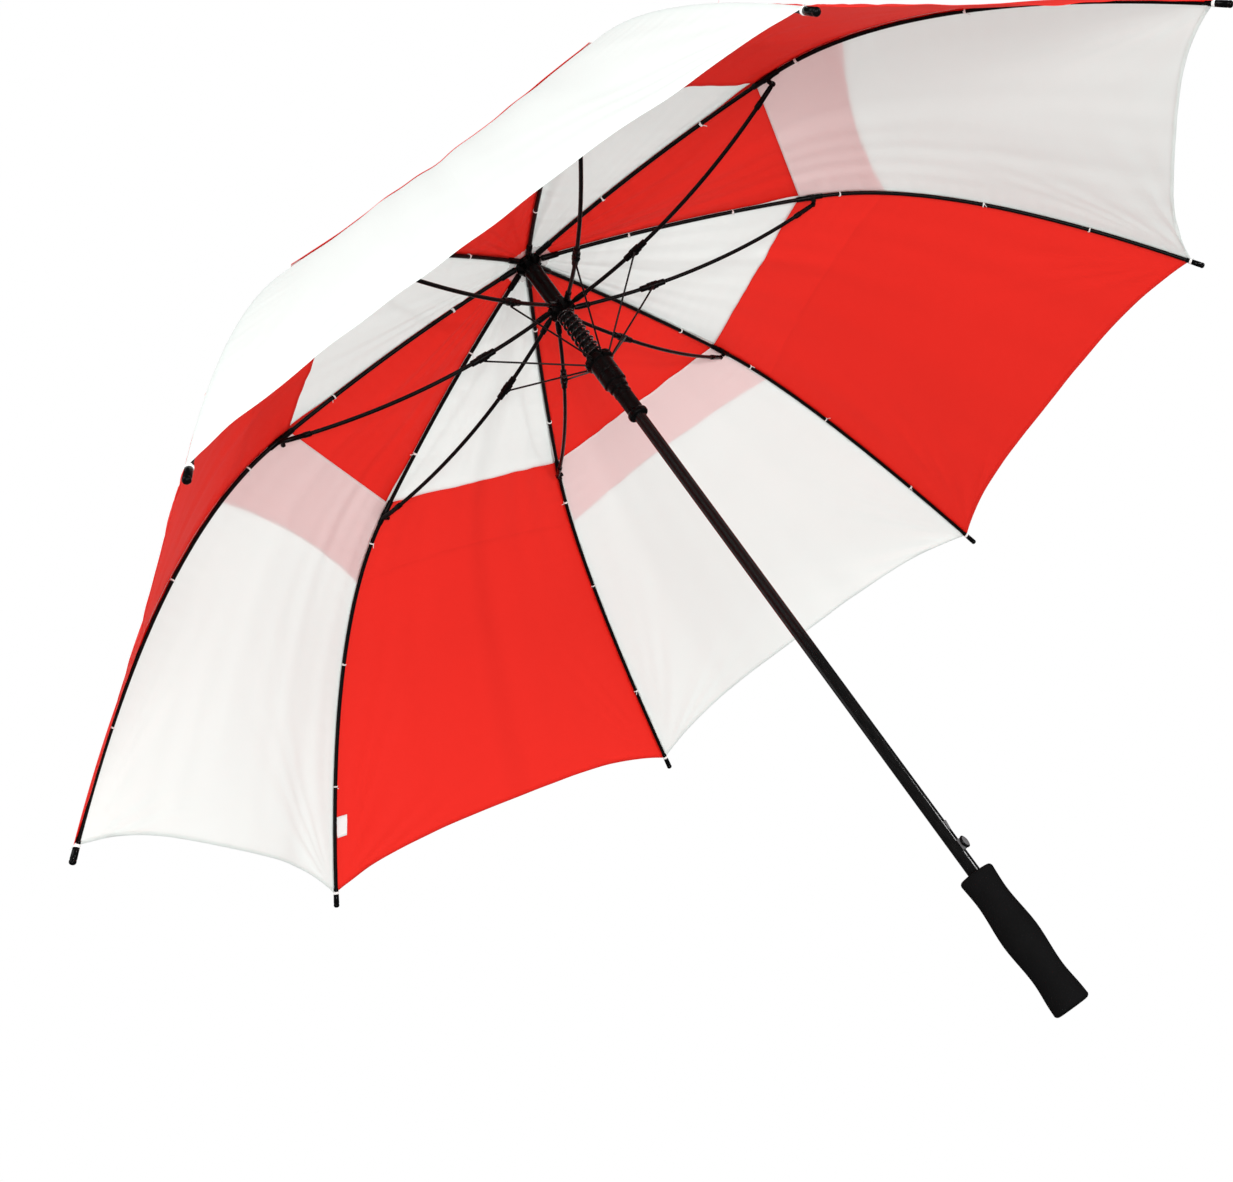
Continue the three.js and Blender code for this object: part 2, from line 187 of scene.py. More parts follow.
class Paint:
    """A material under construction."""

    def __init__(self, name):
        self.material = bpy.data.materials.new(name)
        self.material.use_nodes = True
        self.tree = self.material.node_tree
        self.tree.nodes.clear()

    def node(self, kind, settings=None, values=None, out=0):
        """Adds a node: its settings first, then each socket's value or link. Returns its output
        out, or nothing for the node that ends a material."""
        made = self.tree.nodes.new(kind)
        for key, setting in (settings or {}).items():
            setattr(made, key, setting)
        for key, value in (values or {}).items():
            if isinstance(value, Socket):
                self.tree.links.new(value.out, made.inputs[key])
            else:
                made.inputs[key].default_value = value
        return Socket(self, made.outputs[out]) if len(made.outputs) else None

    def place(self):
        """Object coordinates, in metres."""
        return self.node("ShaderNodeTexCoord", out="Object")

    def noise(self, scale, detail=2.0, vector=None):
        values = {"Scale": scale, "Detail": detail, "Vector": vector or self.place()}
        return self.node("ShaderNodeTexNoise", None, values)

    def mix(self, factor, a, b):
        """Colour a at factor 0 and colour b at factor 1."""
        settings = {"data_type": "RGBA"}
        return self.node("ShaderNodeMix", settings, {0: factor, 6: a, 7: b}, out=2)

    def bump(self, height, distance, strength=1.0):
        """A normal that leans as if the surface stood height times distance metres proud."""
        values = {"Height": height, "Distance": distance, "Strength": strength}
        return self.node("ShaderNodeBump", None, values)

    def surface(self, values):
        return self.node("ShaderNodeBsdfPrincipled", None, values)

    def finish(self, shader):
        self.node("ShaderNodeOutputMaterial", None, {"Surface": shader})
        return self.material


def grey(level):
    """A neutral colour, a touch cool, as black plastic looks."""
    return (level, level, level * 1.03, 1.0)


# %% [markdown]
# ## Hard finishes
# Four blacks sit side by side on this umbrella: satin moulded plastic, glossy plastic, the
# drawn fibreglass of the rods, and the coated steel of the spring and wires. They differ in
# roughness and in what the surface does close up, so each but the coated steel has its own bump.


# %% Hard finishes
def moulded(name, level, roughness, grain=900.0):
    """Moulded plastic: a fine spark-eroded grain, and a roughness that wanders a little."""
    p = Paint(name)
    wander = p.noise(60.0)
    shade = p.mix(p.noise(25.0), grey(level), grey(level * 1.5))
    return p.finish(p.surface({
        "Base Color": shade,
        "Specular IOR Level": 0.08,
        "Roughness": wander * 0.16 + (roughness - 0.08),
        "Normal": p.bump(p.noise(grain, 1.0), 0.0001, 0.35),
    }))


def drawn_rod(name, level):
    """Drawn fibreglass: long glass strands that show as faint streaks."""
    p = Paint(name)
    streaks = p.noise(420.0, 3.0)
    return p.finish(p.surface({
        "Base Color": p.mix(streaks, grey(level * 0.7), grey(level * 1.6)),
        "Specular IOR Level": 0.09,
        "Roughness": streaks * 0.2 + 0.2,
        "Normal": p.bump(streaks, 0.00015, 0.4),
    }))


def woven_shaft(name):
    """The shaft's satin lacquer over a spiral wrap of glass tape."""
    p = Paint(name)
    stretched = p.node("ShaderNodeMapping", None, {"Vector": p.place(), "Scale": (1, 1, 0.12)})
    strands = p.noise(900.0, 2.0, stretched)
    speckle = p.noise(1600.0, 1.0)
    return p.finish(p.surface({
        "Base Color": p.mix(strands, (0.001, 0.001, 0.001, 1), (0.010, 0.010, 0.010, 1)),
        "Specular IOR Level": 0.2,
        "Roughness": strands * 0.12 + 0.08,
        "Normal": p.bump(strands * 0.6 + speckle * 0.4, 0.00012, 0.5),
    }))


def black_steel(name, level, specular, roughness):
    """Blackened or coated steel: a dark skin that is worn to an uneven shine."""
    p = Paint(name)
    wear = p.noise(300.0, 3.0)
    return p.finish(p.surface({
        "Base Color": p.mix(wear, grey(level), grey(level * 2.2)),
        "Specular IOR Level": specular,
        "Roughness": wear * 0.2 + (roughness - 0.1),
    }))


def closed_cell_foam(name):
    """Matte foam: fine cells, a few open ones, and a handled bloom."""
    p = Paint(name)
    cells = p.node("ShaderNodeTexVoronoi", None, {"Scale": 1500.0, "Vector": p.place()})
    soft = p.noise(45.0, 3.0)
    return p.finish(p.surface({
        "Base Color": p.mix(soft, (0.0025, 0.0025, 0.0025, 1), (0.005, 0.005, 0.0053, 1)),
        "Specular IOR Level": 0.06,
        "Roughness": soft * 0.1 + 0.78,
        "Normal": p.bump(cells + soft * 0.8, 0.00015, 0.4),
    }))


satin_black = moulded("satin_black_plastic", 0.002, 0.27)
gloss_black = moulded("gloss_black_plastic", 0.002, 0.14, 400.0)
dark_grey = moulded("dark_grey_plastic", 0.09, 0.3)
rod_black = drawn_rod("black_fibreglass", 0.003)
shaft_black = woven_shaft("lacquered_shaft")
spring_black = black_steel("black_spring_steel", 0.002, 0.4, 0.14)
wire_black = black_steel("coated_wire", 0.002, 0.25, 0.4)
foam_black = closed_cell_foam("closed_cell_foam")
print("blacks:", ", ".join(m.name for m in (satin_black, gloss_black, rod_black, shaft_black)))

# %% [markdown]
# ## Cloth
# The gores are thin plain-weave polyester. Light passes through it, so the shader is a mix
# of a reflecting surface and a translucent one. Where the upper canopy lies over the lower
# one, its colour shows through: the light that comes through it and the shade that it casts
# are also painted into the base colour, and a numeric attribute on the mesh says where that
# paint goes. The weave follows each gore's own threads, so it is drawn on the UV map, in metres.


# %% Cloth finishes
def plain_weave(name, colour, under, glow):
    """colour is the cloth's own; under is a painted show-through colour for where another layer
    lies behind it, standing for the light and shade that layer lets through; and glow the
    share of light that it lets through, in the cloth's own colour."""
    p = Paint(name)
    threads = p.node("ShaderNodeUVMap", {"uv_map": "threads"})
    spread = p.node("ShaderNodeMapping", None, {"Vector": threads, "Scale": (1400, 1400, 1)})
    weave = p.node("ShaderNodeTexChecker", None, {"Vector": spread, "Scale": 1.0}, out="Fac")
    slub = p.noise(260.0, 2.0, threads)
    cast = p.noise(7.0, 2.0)
    # Painted show-through: where the other canopy lies behind, the base colour turns to a painted colour that
    # stands for the light and shade that layer lets through.
    show_through_weight = p.node("ShaderNodeAttribute", {"attribute_name": "layer_behind"}, out="Fac")
    base = p.mix(show_through_weight, (*colour, 1), (*under, 1))
    deeper = tuple(c * 0.93 for c in colour)
    uneven = p.mix(cast * (1 - show_through_weight) * 0.8, base, (*deeper, 1))
    relief = p.bump(weave * 0.3 + slub * 0.7, 0.00008, 0.35)
    face = p.surface({
        "Base Color": uneven,
        "Specular IOR Level": 0.2,
        "Roughness": slub * 0.12 + 0.6,
        "Normal": relief,
    })
    through = p.node("ShaderNodeBsdfTranslucent", None, {"Color": (*colour, 1)})
    return p.finish(p.node("ShaderNodeMixShader", None, {0: glow, 1: face, 2: through}))


RED = (0.78, 0.018, 0.010)
WHITE = (0.83, 0.873, 0.85)
# The third colour of each is painted show-through: pink on white and a slightly brighter red on red, standing
# for the light and shade of the other canopy behind.
red_cloth = plain_weave("red_cloth", RED, (0.83, 0.021, 0.012), 0.2)
white_cloth = plain_weave("white_cloth", WHITE, (0.86, 0.735, 0.722), 0.25)


def spun_thread(name, colour, alpha=1.0):
    """Twisted white yarn, or a sheer cloth of it where alpha is under 1."""
    p = Paint(name)
    twist = p.noise(2500.0, 1.0)
    return p.finish(p.surface({
        "Base Color": p.mix(twist, (*(c * 0.8 for c in colour), 1), (*colour, 1)),
        "Roughness": 0.7,
        "Alpha": alpha,
        "Normal": p.bump(twist, 0.0001, 0.6),
    }))


white_thread = spun_thread("white_thread", (0.85, 0.85, 0.83))
blank_tab = spun_thread("satin_tab", (0.8, 0.8, 0.78))
sheer_patch = spun_thread("sheer_patch", (0.9, 0.82, 0.81), 0.5)

# %% [markdown]
# ## Surfaces from arrays
# Every piece below is a grid of points. `grid_faces` joins neighbours into faces; a grid may
# close on itself one way round, and its open ends may be capped. `turned` and `ring` spin a
# profile round the shaft, and `tube` carries a circle along a path.


# %% Mesh helpers
def add_object(name, points, faces, material, sharp=40.0, closed=True):
    """A mesh object at the origin. A closed shape has its doubles merged and its faces turned
    outwards. Edges under sharp degrees are shaded smooth."""
    mesh = bpy.data.meshes.new(name)
    mesh.from_pydata(points.reshape(-1, 3).tolist(), [], faces)
    if closed:
        work = bmesh.new()
        work.from_mesh(mesh)
        bmesh.ops.remove_doubles(work, verts=work.verts, dist=1e-6)
        bmesh.ops.recalc_face_normals(work, faces=work.faces)
        work.to_mesh(mesh)
        work.free()
    mesh.polygons.foreach_set("use_smooth", np.ones(len(mesh.polygons), bool))
    mesh.set_sharp_from_angle(angle=math.radians(sharp))
    mesh.materials.append(material)
    made = bpy.data.objects.new(name, mesh)
    bpy.context.scene.collection.objects.link(made)
    return made


def grid_faces(rows, columns, wrap=False, cap=False):
    """Quads over a grid of points. wrap joins the last column to the first one, and cap
    closes the first and the last row with one face each."""
    r = np.arange(rows - 1)[:, None]
    c = np.arange(columns if wrap else columns - 1)[None, :]
    n = (c + 1) % columns
    here, above = r * columns, (r + 1) * columns
    faces = np.stack([here + c, here + n, above + n, above + c], -1).reshape(-1, 4).tolist()
    if cap:
        faces.append(list(range(columns))[::-1])
        faces.append([(rows - 1) * columns + i for i in range(columns)])
    return faces


def eased(corners, radius, steps=3):
    """A polyline whose inner corners are rounded: each becomes a small quadratic curve that
    starts and ends at most `radius` from the corner."""
    corners = np.asarray(corners, float)
    points = [corners[:1]]
    t = np.linspace(0, 1, steps + 1)[:, None]
    for before, here, after in zip(corners[:-2], corners[1:-1], corners[2:]):
        back, ahead = before - here, after - here
        reach = [min(radius, np.linalg.norm(v) * 0.45) / np.linalg.norm(v) for v in (back, ahead)]
        start, end = here + back * reach[0], here + ahead * reach[1]
        points.append((1 - t) ** 2 * start + 2 * t * (1 - t) * here + t**2 * end)
    points.append(corners[-1:])
    return np.concatenate(points)


def spun(profile, segments, ease, carve):
    """A profile of (radius, height) spun round the shaft: x = r cos a, y = r sin a. carve may
    lower the radius at an angle and height, which cuts slots and flats."""
    radius, height = eased(profile, ease).T
    angle = np.linspace(0, 2 * math.pi, segments, endpoint=False)
    r = np.repeat(radius[:, None], segments, 1)
    z = np.repeat(height[:, None], segments, 1)
    if carve is not None:
        r = np.minimum(r, carve(np.broadcast_to(angle, r.shape), z))
    return np.stack([r * np.cos(angle), r * np.sin(angle), z], -1)


def turned(name, profile, material, segments=96, ease=0.4 * MM, carve=None):
    """A solid: the spun profile starts and ends on the shaft's axis."""
    points = spun(profile, segments, ease, carve)
    return add_object(name, points, grid_faces(len(points), segments, wrap=True), material)


def ring(name, profile, material, segments=96, ease=0.4 * MM, carve=None):
    """A spun profile that closes on itself, so that the piece has a bore."""
    points = spun([*profile, profile[0]], segments, ease, carve)
    return add_object(name, points, grid_faces(len(points), segments, wrap=True), material)


def tube(path, radius, side, sides=14):
    """A circle carried along a path: each ring lies across the path's direction, and side is
    a direction that is never along it. Returns the points and faces, capped."""
    path = np.asarray(path, float)
    along = np.gradient(path, axis=0)
    along /= np.linalg.norm(along, axis=1)[:, None]
    side = np.broadcast_to(side, path.shape)
    first = side - (side * along).sum(1)[:, None] * along
    first /= np.linalg.norm(first, axis=1)[:, None]
    second = np.cross(along, first)
    a = np.linspace(0, 2 * math.pi, sides, endpoint=False)[None, :, None]
    r = np.broadcast_to(radius, len(path))[:, None, None]
    points = path[:, None] + r * (np.cos(a) * first[:, None] + np.sin(a) * second[:, None])
    return points, grid_faces(len(path), sides, wrap=True, cap=True)


def several(name, parts, material, sharp=40.0):
    """One object from several closed shapes, each a pair of points and faces."""
    points, faces, count = [], [], 0
    for p, f in parts:
        flat = p.reshape(-1, 3)
        points.append(flat)
        faces += [[i + count for i in face] for face in f]
        count += len(flat)
    return add_object(name, np.concatenate(points), faces, material, sharp)


def settle(piece, body, slot, *stands_for):
    """The piece rides a body and stands for CAD nodes. slot is not used."""
    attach(piece, body)
    if stands_for:
        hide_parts(*stands_for)
    return piece


# %% [markdown]
# ## Shaft and handle
# The shaft is a straight lacquered tube with two windows near the handle: one for the
# button and one for the catch. The grip is a foam sleeve that swells where the palm closes
# and again at its end. Its radius is a smooth curve through a few measured places.

# %% Shaft
SHAFT_R = 7 * MM
shaft_low, shaft_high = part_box("shaft_tube")
button_low, button_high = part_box("release_button")
catch_low, catch_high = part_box("latch_catch")
BUTTON_Z = (button_low.z + button_high.z) / 2
CATCH_Z = (catch_low.z + catch_high.z) / 2


def shaft_windows(angle, z):
    """The radius falls by 1.6 mm inside each window on the +X side."""
    across = np.abs(np.sin(angle)) * SHAFT_R
    front = np.cos(angle) > 0
    button = front & (across < 3.0 * MM) & (np.abs(z - BUTTON_Z) < 6.6 * MM)
    catch = front & (across < 2.0 * MM) & (np.abs(z - CATCH_Z) < 5.6 * MM)
    return np.where(button | catch, SHAFT_R - 1.6 * MM, 1.0)


window_edges = [BUTTON_Z - 6.61 * MM, BUTTON_Z - 6.59 * MM, BUTTON_Z + 6.59 * MM, BUTTON_Z + 6.61 * MM,
                CATCH_Z - 5.61 * MM, CATCH_Z - 5.59 * MM, CATCH_Z + 5.59 * MM, CATCH_Z + 5.61 * MM]
heights = sorted([shaft_low.z, *window_edges, *np.linspace(0.24, shaft_high.z, 12)])
shaft_profile = [(0, shaft_low.z), *((SHAFT_R, z) for z in heights), (0, shaft_high.z)]
shaft = turned("shaft", shaft_profile, shaft_black, ease=0.0, carve=shaft_windows)
settle(shaft, "shaft", "fibreglass", "shaft_tube")
print("shaft", round(shaft_high.z - shaft_low.z, 3), "m long")

# %% Handle grip
_, grip_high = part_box("handle_grip")
GRIP_STATIONS = [0.0, 9, 33, 81, 129, 151]
GRIP_RADII = [20.0, 19.6, 17.6, 20.2, 17.4, 19.0]


def smooth_through(x, xs, ys):
    """Catmull-Rom: a cubic between each two given points, whose slope at a point is that of
    the line through its neighbours."""
    xs, ys = np.asarray(xs, float), np.asarray(ys, float)
    slope = np.gradient(ys, xs)
    i = np.clip(np.searchsorted(xs, x) - 1, 0, len(xs) - 2)
    step = xs[i + 1] - xs[i]
    t = (x - xs[i]) / step
    return (
        (2 * t**3 - 3 * t**2 + 1) * ys[i] + (t**3 - 2 * t**2 + t) * step * slope[i]
        + (3 * t**2 - 2 * t**3) * ys[i + 1] + (t**3 - t**2) * step * slope[i + 1]
    )


stations = np.linspace(0, 151, 60)
side_of_grip = np.stack([smooth_through(stations, GRIP_STATIONS, GRIP_RADII), stations + 3], 1) * MM
foot_of_grip = np.array([(9.9, 0), (15.6, 0), (17.6, 0.4), (19.1, 1.5)]) * MM
top_of_grip = np.array([(18.4, -1.2), (17.2, 0), (8.6, 0), (7.3, -1.2), (7.3, -2.6), (9.9, -2.8)]) * MM
top_of_grip[:, 1] += grip_high.z
grip_profile = [*foot_of_grip, *side_of_grip, *top_of_grip]
grip = ring("handle_foam", grip_profile, foam_black, ease=0.0)
settle(grip, "shaft", "foam", "handle_grip")
_, end_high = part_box("handle_end_cap")
cap_profile = [(0, 0.7 * MM), (6.6 * MM, 0.7 * MM), (7.2 * MM, 0), (9.5 * MM, 0), (9.5 * MM, end_high.z),
               (6 * MM, end_high.z), (6 * MM, 3 * MM), (0, 3 * MM)]
end_cap = turned("handle_end_plug", cap_profile, satin_black)
settle(end_cap, "shaft", "black_plastic", "handle_end_cap")

# %% [markdown]
# ## Button and catch
# The button is a round thumb pad on a square stem. Pressing it draws the catch above it
# into the shaft, which lets the runner go. Both are small boxes with eased edges, so a
# Bevel modifier rounds them after their outlines are drawn.


# %% Button and catch
def block(name, outline, depth, material, bevel):
    """An outline in the X-Z plane given a thickness across Y, with its edges eased."""
    outline = np.asarray(outline, float)
    x, z = outline.T
    layers = np.stack([np.stack([x, np.full_like(x, y), z], 1) for y in (-depth / 2, depth / 2)])
    made = add_object(name, layers, grid_faces(2, len(outline), wrap=True, cap=True), material)
    easing = made.modifiers.new("eased_edges", "BEVEL")
    easing.width, easing.segments, easing.limit_method = bevel, 2, "ANGLE"
    return made


stem_outline = [(1.5 * MM, BUTTON_Z - 6 * MM), (9.4 * MM, BUTTON_Z - 6 * MM),
                (9.4 * MM, BUTTON_Z + 6 * MM), (1.5 * MM, BUTTON_Z + 6 * MM)]
stem = block("button_stem", stem_outline, 5.2 * MM, dark_grey, 0.3 * MM)
settle(stem, "release_button", "grey_plastic")
pad_x = np.array([9.2, 10.2, 11.2, 12.2, 12.8, 12.5]) * MM
pad_r = np.array([4.9, 6.1, 6.8, 6.7, 5.6, 0.01]) * MM
pad_path = np.stack([pad_x, np.zeros(6), np.full(6, BUTTON_Z)], 1)
pad_path[-1, 0] = 12.81 * MM
thumb_pad = several("button_pad", [tube(pad_path, pad_r, (0.0, 0.0, 1.0), 48)], satin_black, 50)
settle(thumb_pad, "release_button", "grey_plastic", "release_button")
face_x = np.array([12.3, 12.95, 13.15, 13.2]) * MM
face_r = np.array([5.3, 5.1, 4.2, 0.01]) * MM
face_path = np.stack([face_x, np.zeros(4), np.full(4, BUTTON_Z)], 1)
thumb_face = several("button_face", [tube(face_path, face_r, (0.0, 0.0, 1.0), 48)], dark_grey, 50)
settle(thumb_face, "release_button", "grey_plastic")
catch_outline = [(1.5 * MM, CATCH_Z - 5 * MM), (7.2 * MM, CATCH_Z - 5 * MM),
                 (8.4 * MM, CATCH_Z + 5 * MM), (1.5 * MM, CATCH_Z + 5 * MM)]
catch = block("latch_tooth", catch_outline, 3.2 * MM, dark_grey, 0.3 * MM)
settle(catch, "release_button", "grey_plastic", "latch_catch")

# %% [markdown]
# ## Notch, runners and spring
# Ribs hang in slots round the top notch, and stretchers in slots round the hub. A slotted
# ring is still one spun surface: inside a slot's width the radius drops to the slot's floor.
# The grid has a column of points close to each side of a slot, so the walls come out steep.


# %% Notch, cap and ferrule
def slots(floor, half_width, offset, low, high):
    """A carve for eight slots: the floor's radius where the distance across a slot's centre
    line is under half_width, between two heights."""

    def carve(angle, z):
        turn = (angle[..., None] - AZIMUTHS + math.pi) % (2 * math.pi) - math.pi
        reach = floor * 1.25
        nearest = np.abs(reach * np.sin(turn) - offset) + 10 * (np.cos(turn) < 0)
        inside = (nearest.min(-1) < half_width) & (z > low) & (z < high)
        return np.where(inside, floor, 1.0)

    return carve


BORE = 7.2 * MM
FINE = 8 * 48
notch_profile = np.array([(7.2, -8.5), (12, -8.5), (16, -5), (16, 0.5), (14.5, 1.8), (7.2, 1.8)]) * MM
notch_profile[:, 1] += NOTCH_Z
notch = ring("rib_crown", notch_profile, satin_black, FINE, carve=slots(8.6 * MM, 2.4 * MM, 0, 0, 2))
settle(notch, "shaft", "black_plastic", "top_notch")
cap_low, cap_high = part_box("canopy_cap")
rosette_profile = [(BORE, cap_low.z + 1.6 * MM), (17 * MM, cap_low.z), (17.6 * MM, cap_low.z + 1 * MM),
                   (14 * MM, cap_high.z - 1.6 * MM), (11 * MM, cap_high.z - 0.3 * MM), (BORE, cap_high.z)]
rosette = ring("canopy_rosette", rosette_profile, satin_black)
settle(rosette, "shaft", "black_plastic", "canopy_cap")
spike_low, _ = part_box("ferrule")
spike_steps = np.array([(0, 0.4), (10.5, 0.4), (10.5, 3), (9.6, 4), (9.4, 8), (8.2, 30), (7.6, 46),
                        (7.8, 47), (7.4, 51), (6.2, 56), (4.2, 59), (0, 60)]) * MM
spike_steps[:, 1] += spike_low.z
spike = turned("top_spike", spike_steps, satin_black, ease=0.8 * MM)
settle(spike, "shaft", "black_plastic", "ferrule")


# %% Upper runner
_, sleeve_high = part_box("upper_runner")
hub_profile = [(BORE, HUB_Z - 6 * MM), (12.3 * MM, HUB_Z - 6 * MM), (16 * MM, HUB_Z - 4 * MM),
               (16 * MM, HUB_Z + 5 * MM), (13 * MM, HUB_Z + 7 * MM), (10.6 * MM, HUB_Z + 8 * MM),
               (10.6 * MM, HUB_Z + 12 * MM), (10 * MM, HUB_Z + 13 * MM), (10 * MM, sleeve_high.z - 8 * MM),
               (10.5 * MM, sleeve_high.z - 7 * MM), (10.5 * MM, sleeve_high.z), (BORE, sleeve_high.z)]
hub = ring("stretcher_hub", hub_profile, satin_black, FINE,
           carve=slots(10.5 * MM, 2.3 * MM, 5.5 * MM, HUB_Z - 0.02, HUB_Z + 7.5 * MM))
settle(hub, "upper_runner", "black_plastic", "upper_runner")

# %% Lower runner and collar
collar_low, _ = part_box("runner_collar")
steps = np.array([(7.2, -76), (9.8, -76), (9.8, -52), (10.4, -51.4), (10.4, -48), (9.8, -47.4), (9.8, -45),
                  (11.6, -43), (11.6, -36.4), (13.8, -34.6), (13.8, -22), (13.2, -21.4), (13.2, -19.6),
                  (13.8, -19), (13.8, -5), (17.2, -3.2), (17.2, 3), (12.7, 3), (12.7, -33), (7.2, -33)]) * MM
steps[:, 1] += RING_Z
lower = ring("pull_runner", steps, satin_black, FINE, 0.3 * MM,
             slots(14.2 * MM, 1.3 * MM, 1.9 * MM, RING_Z - 6 * MM, RING_Z + 3.2 * MM))
settle(lower, "lower_runner", "black_plastic", "lower_runner")
collar_profile = np.array([(7.2, 0), (10.4, 0), (11.8, 1.4), (11.8, 5.6), (10.2, 7.4), (9.9, 8.4),
                           (7.2, 8.4)]) * MM
collar_profile[:, 1] += collar_low.z
collar = ring("flared_collar", collar_profile, gloss_black, ease=0.9 * MM)
settle(collar, "lower_runner", "gloss_black", "runner_collar")

# %% Opening spring
COILS = 14
COIL_R = 9.5 * MM
COIL_WIRE_R = 1.7 * MM
LOWER_TRAVEL = joints["lower_runner_slide"]["range_m"][1]
SPRING_PLAY = 0.5 * MM
spring_low, spring_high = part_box("opening_spring")
SPRING_KEEP = 1 - (LOWER_TRAVEL + SPRING_PLAY) / (spring_high.z - spring_low.z)


def coil(turns, low, high, radius, wire, per_turn=26):
    """A helix: the angle grows evenly, and the height grows evenly except that the end turns
    lie flat, as they do on a spring with closed ends."""
    t = np.linspace(0, 1, int(turns * per_turn))
    rise = np.clip((t * turns - 0.75) / (turns - 1.5), 0, 1)
    angle = 2 * math.pi * turns * t
    out = np.stack([np.cos(angle), np.sin(angle), np.zeros_like(t)], 1)
    path = out * radius
    path[:, 2] = low + wire + (high - low - 2 * wire) * rise
    return tube(path, wire, out, 10)


winding = coil(COILS, spring_low.z, spring_high.z, COIL_R, COIL_WIRE_R)
spring = several("opening_coil", [winding], spring_black)
settle(spring, "lower_runner", "spring_steel", "opening_spring")
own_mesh(spring)
print("spring of", COILS, "turns,", round(spring_high.z - spring_low.z, 4), "m")

# %% [markdown]
# ## The ribs' curve
# Between notch and joint a rib is nearly straight. Past the joint the cloth bends it, most
# of all near the joint. Two quadratic curves with a shared slope say this well. Cloth and
# rods both need places by their length along the rib, so the curve is sampled once, densely,
# and looked up by length.

# %% The ribs' curve
TIP_R, TIP_Z = 0.721, 0.619
NOTCH_SLOPE, JOINT_SLOPE, TIP_SLOPE = (math.radians(a) for a in (8.5, 17.0, 53.0))


def bent_arc(start, end, slope_a, slope_b, count=400):
    """Points of the quadratic curve that leaves start at slope a and reaches end at slope b,
    both measured downwards from level."""
    start, end = np.array(start), np.array(end)
    dx, dz = end - start
    reach = (dx * math.sin(slope_b) + dz * math.cos(slope_b)) / math.sin(slope_b - slope_a)
    corner = start + reach * np.array([math.cos(slope_a), -math.sin(slope_a)])
    t = np.linspace(0, 1, count)[:, None]
    return (1 - t) ** 2 * start + 2 * t * (1 - t) * corner + t**2 * end


inner_arc = bent_arc((NOTCH_R, NOTCH_Z), (JOINT_R, JOINT_Z), NOTCH_SLOPE, JOINT_SLOPE)
outer_arc = bent_arc((JOINT_R, JOINT_Z), (TIP_R, TIP_Z), JOINT_SLOPE, TIP_SLOPE)
whole_arc = np.concatenate([inner_arc, outer_arc[1:]])
arc_length = np.concatenate([[0], np.cumsum(np.linalg.norm(np.diff(whole_arc, axis=0), axis=1))])
JOINT_S = arc_length[len(inner_arc) - 1]
TIP_S = arc_length[-1]
arc_slope = np.gradient(whole_arc, arc_length, axis=0)
print("rib", round(TIP_S, 4), "m long, joint at", round(JOINT_S, 4))


def rib_at(s):
    """(radius, height) at a length along the rib, and the unit direction there."""
    place = np.stack([np.interp(s, arc_length, whole_arc[:, i]) for i in (0, 1)], -1)
    along = np.stack([np.interp(s, arc_length, arc_slope[:, i]) for i in (0, 1)], -1)
    return place, along / np.linalg.norm(along, axis=-1, keepdims=True)


def turned_to(points, azimuth):
    """Points in a rib's own plane frame (out, sideways, up) put round the shaft."""
    out, across, up = np.moveaxis(points, -1, 0)
    c, s = math.cos(azimuth), math.sin(azimuth)
    return np.stack([out * c - across * s, out * s + across * c, up], -1)


def sideways(azimuth):
    return np.array([-math.sin(azimuth), math.cos(azimuth), 0.0])


# %% [markdown]
# ## Ribs
# Each rib is a round rod with a moulded bracket at the joint. Rings of different radius
# along one path give the rod, its bracket and the small steps at the bracket's ends.


# %% Ribs, brackets and tips
ROD_R = 2.3 * MM


def rib_tube(s, radius, azimuth, sides=16):
    """Rings along the rib between lengths s, with a radius each."""
    place, _ = rib_at(s)
    path = np.stack([place[:, 0], np.zeros(len(s)), place[:, 1]], 1)
    return tube(turned_to(path, azimuth), radius, sideways(azimuth), sides)


def stepped(pairs):
    """Lengths and radii of a rod with steps, from (length, radius) pairs."""
    s, r = np.array(pairs).T
    return s, r


def rivet(out, up, across, radius, half, azimuth):
    """A short pin with domed heads, across the rib's plane."""
    y = np.array([-half - 0.5 * MM, -half - 0.3 * MM, -half, half, half + 0.3 * MM, half + 0.5 * MM])
    r = np.array([0.35, 0.8, 1, 1, 0.8, 0.35]) * radius
    path = np.stack([np.full(6, out), y + across, np.full(6, up)], 1)
    return tube(turned_to(path, azimuth), r, (0.0, 0.0, 1.0), 16)


